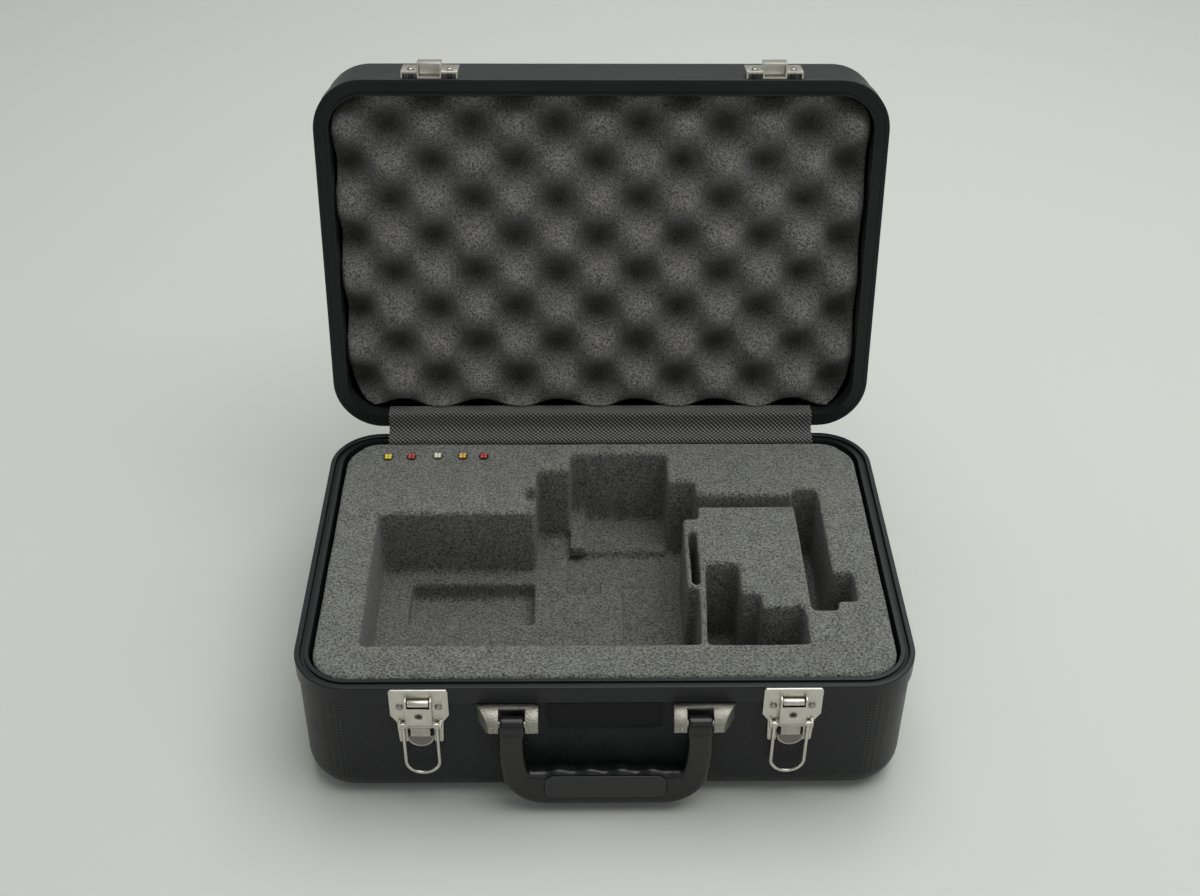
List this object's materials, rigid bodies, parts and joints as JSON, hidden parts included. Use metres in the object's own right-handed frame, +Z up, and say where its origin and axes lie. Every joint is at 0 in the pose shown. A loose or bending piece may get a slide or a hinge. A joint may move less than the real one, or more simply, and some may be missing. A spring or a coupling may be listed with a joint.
{
  "type": "instrument case",
  "caption": "Hard-shell instrument carrying case, lid open, with a cut foam insert, egg-crate lid pad, draw latches and a folding handle.",
  "frame": {"origin": "centre of the base underside, on the surface the case stands on", "axes": "+X to the right of a person facing the latches, +Y to the hinge at the back, +Z up"},
  "size_m": [0.42, 0.4117, 0.3975],
  "materials": {
    "shell_black": "pebbled satin",
    "valance_black": "black anodised satin",
    "gasket_rubber": "matte",
    "foam_grey": "open-cell foam",
    "foam_charcoal": "open-cell foam",
    "hinge_fabric": "twill weave",
    "handle_black": "satin moulded",
    "grip_black": "satin moulded",
    "label_black": "satin, blank",
    "bead_yellow": "gloss",
    "bead_red": "gloss",
    "bead_clear": "gloss",
    "bead_amber": "gloss",
    "hinge_steel": "zinc plated",
    "wire_nickel": "nickel plated, polished",
    "cast_nickel": "satin nickel, cast",
    "latch_nickel": "nickel plated, satin"
  },
  "bodies": {
    "base": {"base_hinge_rivets": "hinge_steel", "base_shell": "shell_black", "base_valance": "valance_black", "foam_body_sheet": "foam_grey", "foam_floor_pad": "foam_grey", "foam_shelf_sheet": "foam_grey", "foam_step_sheet": "foam_grey", "foam_top_sheet": "foam_grey", "handle_backing_strip": "hinge_steel", "handle_bracket_left": "cast_nickel", "handle_bracket_right": "cast_nickel", "handle_pin_left": "hinge_steel", "handle_pin_right": "hinge_steel", "handle_screws": "hinge_steel", "hinge_cover_strip": "hinge_fabric", "hinge_leaf_base": "hinge_steel", "hinge_pin": "hinge_steel", "hinge_stop_left": "hinge_steel", "hinge_stop_right": "hinge_steel", "latch_cover_left": "latch_nickel", "latch_cover_right": "latch_nickel", "latch_plate_left": "latch_nickel", "latch_plate_right": "latch_nickel", "latch_rivets": "latch_nickel", "lever_pin_left": "wire_nickel", "lever_pin_right": "wire_nickel", "lock_barrel_left": "latch_nickel", "lock_barrel_right": "latch_nickel", "marker_amber": "bead_amber", "marker_clear": "bead_clear", "marker_red_left": "bead_red", "marker_red_right": "bead_red", "marker_yellow": "bead_yellow", "name_plate": "label_black", "rim_gasket": "gasket_rubber"},
    "lid": {"lid_shell": "shell_black", "lid_valance": "valance_black", "lid_foam": "foam_charcoal", "hinge_leaf_lid": "hinge_steel", "lid_hinge_rivets": "hinge_steel", "keeper_left": "latch_nickel", "keeper_right": "latch_nickel", "keeper_rivets": "latch_nickel"},
    "handle": {"handle_loop": "handle_black", "handle_grip_pad": "grip_black"},
    "lever_left": {"latch_lever_left": "latch_nickel"},
    "claw_left": {"latch_claw_left": "latch_nickel"},
    "bail_left": {"latch_bail_left": "wire_nickel"},
    "lever_right": {"latch_lever_right": "latch_nickel"},
    "claw_right": {"latch_claw_right": "latch_nickel"},
    "bail_right": {"latch_bail_right": "wire_nickel"}
  },
  "joints": [
    {"name": "lid_hinge", "type": "hinge", "parent": "base", "child": "lid", "pos_m": [0, 0.1425, 0.1092], "axis": [1, 0, 0], "range_deg": [0, 100], "deforming": ["hinge_cover_strip"]},
    {"name": "handle_swing", "type": "hinge", "parent": "base", "child": "handle", "pos_m": [0, -0.1476, 0.0838], "axis": [-1, 0, 0], "range_deg": [0, 90]},
    {"name": "lever_turn_left", "type": "hinge", "parent": "base", "child": "lever_left", "pos_m": [-0.124, -0.1434, 0.0784], "axis": [-1, 0, 0], "range_deg": [0, 110]},
    {"name": "claw_slide_left", "type": "slide", "parent": "base", "child": "claw_left", "axis": [0, 0, 1], "range_m": [0, 0.0141]},
    {"name": "bail_swing_left", "type": "hinge", "parent": "base", "child": "bail_left", "pos_m": [-0.124, -0.1434, 0.0784], "axis": [-1, 0, 0], "range_deg": [0, 150]},
    {"name": "lever_turn_right", "type": "hinge", "parent": "base", "child": "lever_right", "pos_m": [0.124, -0.1434, 0.0784], "axis": [-1, 0, 0], "range_deg": [0, 110]},
    {"name": "claw_slide_right", "type": "slide", "parent": "base", "child": "claw_right", "axis": [0, 0, 1], "range_m": [0, 0.0141]},
    {"name": "bail_swing_right", "type": "hinge", "parent": "base", "child": "bail_right", "pos_m": [0.124, -0.1434, 0.0784], "axis": [-1, 0, 0], "range_deg": [0, 150]}
  ],
  "couplings": [
    {"joint": "claw_slide_left", "follows": "lever_turn_left", "m_per_rad": 0.0072922},
    {"joint": "claw_slide_right", "follows": "lever_turn_right", "m_per_rad": 0.0072922}
  ]
}
